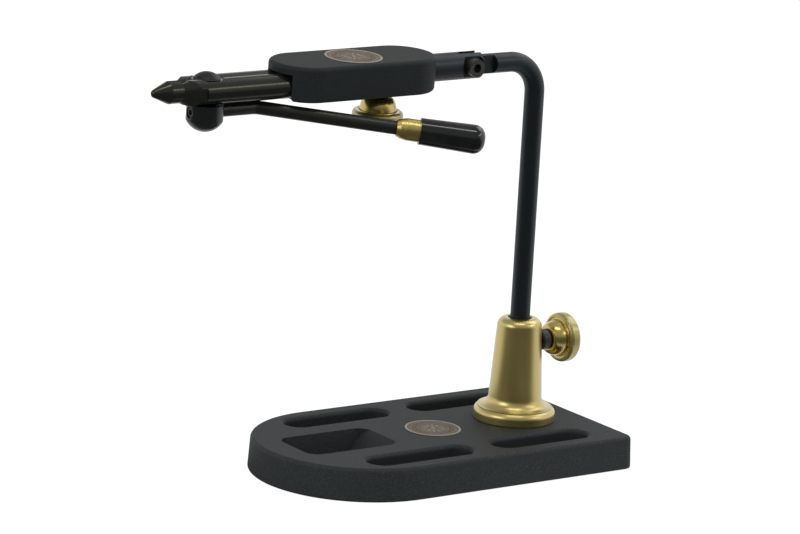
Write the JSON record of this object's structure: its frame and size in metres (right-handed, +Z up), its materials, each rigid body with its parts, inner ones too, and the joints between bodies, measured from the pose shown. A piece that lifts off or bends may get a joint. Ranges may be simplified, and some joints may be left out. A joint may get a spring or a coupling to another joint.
{
  "type": "fly tying vise",
  "caption": "Rotary fly tying vise: D-shaped tray base, pedestal with a bent height-adjustable stem, and a tilting rotary head whose jaws open by a cam lever.",
  "frame": {"origin": "on the stem's axis, in the plane that the base stands on", "axes": "+Z up, +X towards the rear of the base, jaws towards -X, +Y to the far side"},
  "size_m": [0.2489, 0.1081, 0.2015],
  "materials": {
    "coated_casting": "fine textured black powder coat",
    "pad_rubber": "matt black rubber",
    "medallion_bronze": "antique bronze, muted",
    "gold_anodised": "satin champagne anodised",
    "turned_brass": "turned brass, lightly polished",
    "stem_black": "satin black",
    "black_oxide": "oiled black oxide",
    "screw_black": "black oxide fasteners",
    "nylon_black": "black nylon",
    "nylon_natural": "natural nylon",
    "bright_steel": "ground steel",
    "grip_vinyl": "glossy black vinyl"
  },
  "bodies": {
    "base": {"base_plate": "coated_casting", "base_pad": "pad_rubber", "base_medallion": "medallion_bronze", "pedestal": "gold_anodised", "pedestal_bolt": "screw_black"},
    "swivel_bush": {"stem_bush": "nylon_black"},
    "stem": {"stem": "stem_black"},
    "clamp_tip": {"stem_clamp_tip": "nylon_natural"},
    "clamp_knob": {"stem_clamp_screw": "screw_black", "stem_clamp_knob": "turned_brass"},
    "head_shaft": {"head_shaft": "stem_black", "knuckle_screw": "screw_black"},
    "housing": {"head_housing": "coated_casting", "head_medallion": "medallion_bronze", "housing_cover": "coated_casting", "cover_screws": "screw_black", "shaft_bush": "black_oxide", "jaw_pivot_pins": "bright_steel", "jaw_spring": "bright_steel"},
    "lock_tip": {"rotation_lock_tip": "nylon_natural"},
    "lock_knob": {"rotation_lock_screw": "screw_black", "rotation_lock_knob": "turned_brass"},
    "near_jaw": {"near_jaw": "black_oxide"},
    "far_jaw": {"far_jaw": "black_oxide"},
    "lever": {"cam_pin": "black_oxide", "lever_hub": "black_oxide", "hub_set_screw": "screw_black", "lever_rod": "black_oxide", "lever_ferrule": "turned_brass", "lever_grip": "grip_vinyl"}
  },
  "joints": [
    {"name": "stem_swivel", "type": "hinge", "parent": "base", "child": "swivel_bush", "pos_m": [0, 0, 0.063], "axis": [0, 0, 1], "continuous": true},
    {"name": "stem_height", "type": "slide", "parent": "swivel_bush", "child": "stem", "axis": [0, 0, 1], "range_m": [-0.0055, 0.015]},
    {"name": "stem_clamp_travel", "type": "slide", "parent": "base", "child": "clamp_tip", "axis": [1, 0, 0], "range_m": [0, 0.002]},
    {"name": "stem_clamp_turn", "type": "hinge", "parent": "clamp_tip", "child": "clamp_knob", "pos_m": [0.01, 0, 0.054], "axis": [1, 0, 0], "range_deg": [0, 722]},
    {"name": "head_tilt", "type": "hinge", "parent": "stem", "child": "head_shaft", "pos_m": [-0.041, 0, 0.1926], "axis": [0, 1, 0], "range_deg": [-45, 45]},
    {"name": "head_rotation", "type": "hinge", "parent": "head_shaft", "child": "housing", "pos_m": [-0.041, 0, 0.1926], "axis": [1, 0, 0.0035], "continuous": true},
    {"name": "rotation_lock_travel", "type": "slide", "parent": "housing", "child": "lock_tip", "axis": [0.0035, 0.0436, -0.999], "range_m": [0, 0.0008]},
    {"name": "rotation_lock_turn", "type": "hinge", "parent": "lock_tip", "child": "lock_knob", "pos_m": [-0.08976, 0.00044, 0.18244], "axis": [0.0035, 0.0436, -0.999], "range_deg": [0, 361]},
    {"name": "lever_squeeze", "type": "hinge", "parent": "housing", "child": "lever", "pos_m": [-0.18479, 0.00009, 0.19015], "axis": [-0.0035, -0.0436, 0.999], "range_deg": [0, 10], "stiffness_Nm_per_rad": 1.5, "springref_deg": -11.46},
    {"name": "near_jaw_open", "type": "hinge", "parent": "housing", "child": "near_jaw", "pos_m": [-0.12539, -0.00376, 0.19019], "axis": [-0.0035, -0.0436, 0.999], "range_deg": [0, 0.705]},
    {"name": "far_jaw_open", "type": "hinge", "parent": "housing", "child": "far_jaw", "pos_m": [-0.12539, 0.00393, 0.19052], "axis": [0.0035, 0.0436, -0.999], "range_deg": [0, 0.705]}
  ],
  "couplings": [
    {"joint": "stem_clamp_turn", "follows": "stem_clamp_travel", "rad_per_m": 6283.2},
    {"joint": "rotation_lock_turn", "follows": "rotation_lock_travel", "rad_per_m": 7854},
    {"joint": "near_jaw_open", "follows": "lever_squeeze", "ratio": 0.07},
    {"joint": "far_jaw_open", "follows": "lever_squeeze", "ratio": 0.07}
  ]
}
